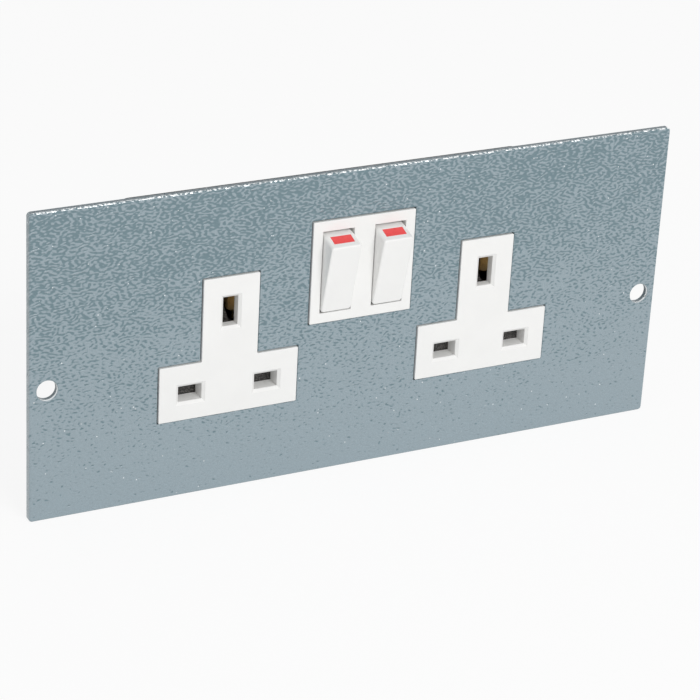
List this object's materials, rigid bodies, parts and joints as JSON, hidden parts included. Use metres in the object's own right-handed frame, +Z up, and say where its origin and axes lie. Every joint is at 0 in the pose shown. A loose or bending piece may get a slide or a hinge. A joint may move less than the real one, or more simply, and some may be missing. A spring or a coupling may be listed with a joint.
{
  "type": "floor box socket module",
  "caption": "Switched twin 13 A socket outlet in a hammered grey steel plate with a fixing hole at each end, for a floor box.",
  "frame": {"origin": "midway between the two fixing holes, on the plate's back face", "axes": "+X along the plate to the right seen from the front, +Z up towards the earth pins, -Y out of the front of the plate, +Y into the floor box"},
  "size_m": [0.19, 0.0317, 0.088],
  "materials": {
    "hammered_paint": "hammered grey stove enamel on steel",
    "white_moulding": "satin white urea moulding",
    "white_rocker": "satin white moulding",
    "dark_moulding": "matt black moulding",
    "red_marker": "gloss red",
    "grey_shutter": "matt dark grey moulding",
    "natural_nylon": "natural nylon",
    "contact_brass": "rolled brass strip",
    "terminal_brass": "machined brass",
    "strap_copper": "soft copper strip",
    "contact_silver": "silver contact rivet",
    "zinc_steel": "zinc plated steel",
    "spring_steel": "drawn spring wire"
  },
  "bodies": {
    "module": {"faceplate": "hammered_paint", "front_housing": "white_moulding", "rear_housing": "dark_moulding", "housing_screws": "zinc_steel", "plate_studs": "zinc_steel", "plate_washers": "zinc_steel", "plate_nuts": "zinc_steel", "neutral_busbar": "contact_brass", "live_busbar": "contact_brass", "earth_busbar": "contact_brass", "earth_strap": "strap_copper", "left_live_contact": "contact_brass", "left_fixed_tip": "contact_silver", "left_shutter_spring": "spring_steel", "right_live_contact": "contact_brass", "right_fixed_tip": "contact_silver", "right_shutter_spring": "spring_steel", "live_terminal_block": "terminal_brass", "live_terminal_screw": "zinc_steel", "neutral_terminal_block": "terminal_brass", "neutral_terminal_screw": "zinc_steel", "earth_terminal_block": "terminal_brass", "earth_terminal_screw": "zinc_steel"},
    "left_switch": {"left_rocker": "white_rocker", "left_on_marker": "red_marker", "left_plunger_spring": "spring_steel"},
    "left_plunger_unit": {"left_plunger": "natural_nylon"},
    "left_contact_arm": {"left_rocking_contact": "contact_brass", "left_moving_tip": "contact_silver"},
    "left_shutter_unit": {"left_shutter": "grey_shutter"},
    "right_switch": {"right_rocker": "white_rocker", "right_on_marker": "red_marker", "right_plunger_spring": "spring_steel"},
    "right_plunger_unit": {"right_plunger": "natural_nylon"},
    "right_contact_arm": {"right_rocking_contact": "contact_brass", "right_moving_tip": "contact_silver"},
    "right_shutter_unit": {"right_shutter": "grey_shutter"}
  },
  "joints": [
    {"name": "left_rocker_hinge", "type": "hinge", "parent": "module", "child": "left_switch", "pos_m": [-0.00775, 0, 0.02185], "axis": [1, 0, 0], "range_deg": [-26, 0]},
    {"name": "left_plunger_slide", "type": "slide", "parent": "left_switch", "child": "left_plunger_unit", "axis": [0, -0.9744, -0.225], "range_m": [0, 0.0012], "stiffness_N_per_m": 500, "springref_m": -0.002, "deforming": ["left_plunger_spring"]},
    {"name": "left_contact_hinge", "type": "hinge", "parent": "module", "child": "left_contact_arm", "pos_m": [-0.00775, 0.0133, 0.02185], "axis": [1, 0, 0], "range_deg": [0, 14]},
    {"name": "left_shutter_slide", "type": "slide", "parent": "module", "child": "left_shutter_unit", "axis": [0, 0, -1], "range_m": [0, 0.0054], "stiffness_N_per_m": 120, "springref_m": -0.004, "deforming": ["left_shutter_spring"]},
    {"name": "right_rocker_hinge", "type": "hinge", "parent": "module", "child": "right_switch", "pos_m": [0.00775, 0, 0.02185], "axis": [1, 0, 0], "range_deg": [-26, 0]},
    {"name": "right_plunger_slide", "type": "slide", "parent": "right_switch", "child": "right_plunger_unit", "axis": [0, -0.9744, -0.225], "range_m": [0, 0.0012], "stiffness_N_per_m": 500, "springref_m": -0.002, "deforming": ["right_plunger_spring"]},
    {"name": "right_contact_hinge", "type": "hinge", "parent": "module", "child": "right_contact_arm", "pos_m": [0.00775, 0.0133, 0.02185], "axis": [1, 0, 0], "range_deg": [0, 14]},
    {"name": "right_shutter_slide", "type": "slide", "parent": "module", "child": "right_shutter_unit", "axis": [0, 0, -1], "range_m": [0, 0.0054], "stiffness_N_per_m": 120, "springref_m": -0.004, "deforming": ["right_shutter_spring"]}
  ],
  "couplings": [
    {"joint": "left_contact_hinge", "follows": "left_rocker_hinge", "ratio": -0.53846},
    {"joint": "right_contact_hinge", "follows": "right_rocker_hinge", "ratio": -0.53846}
  ]
}
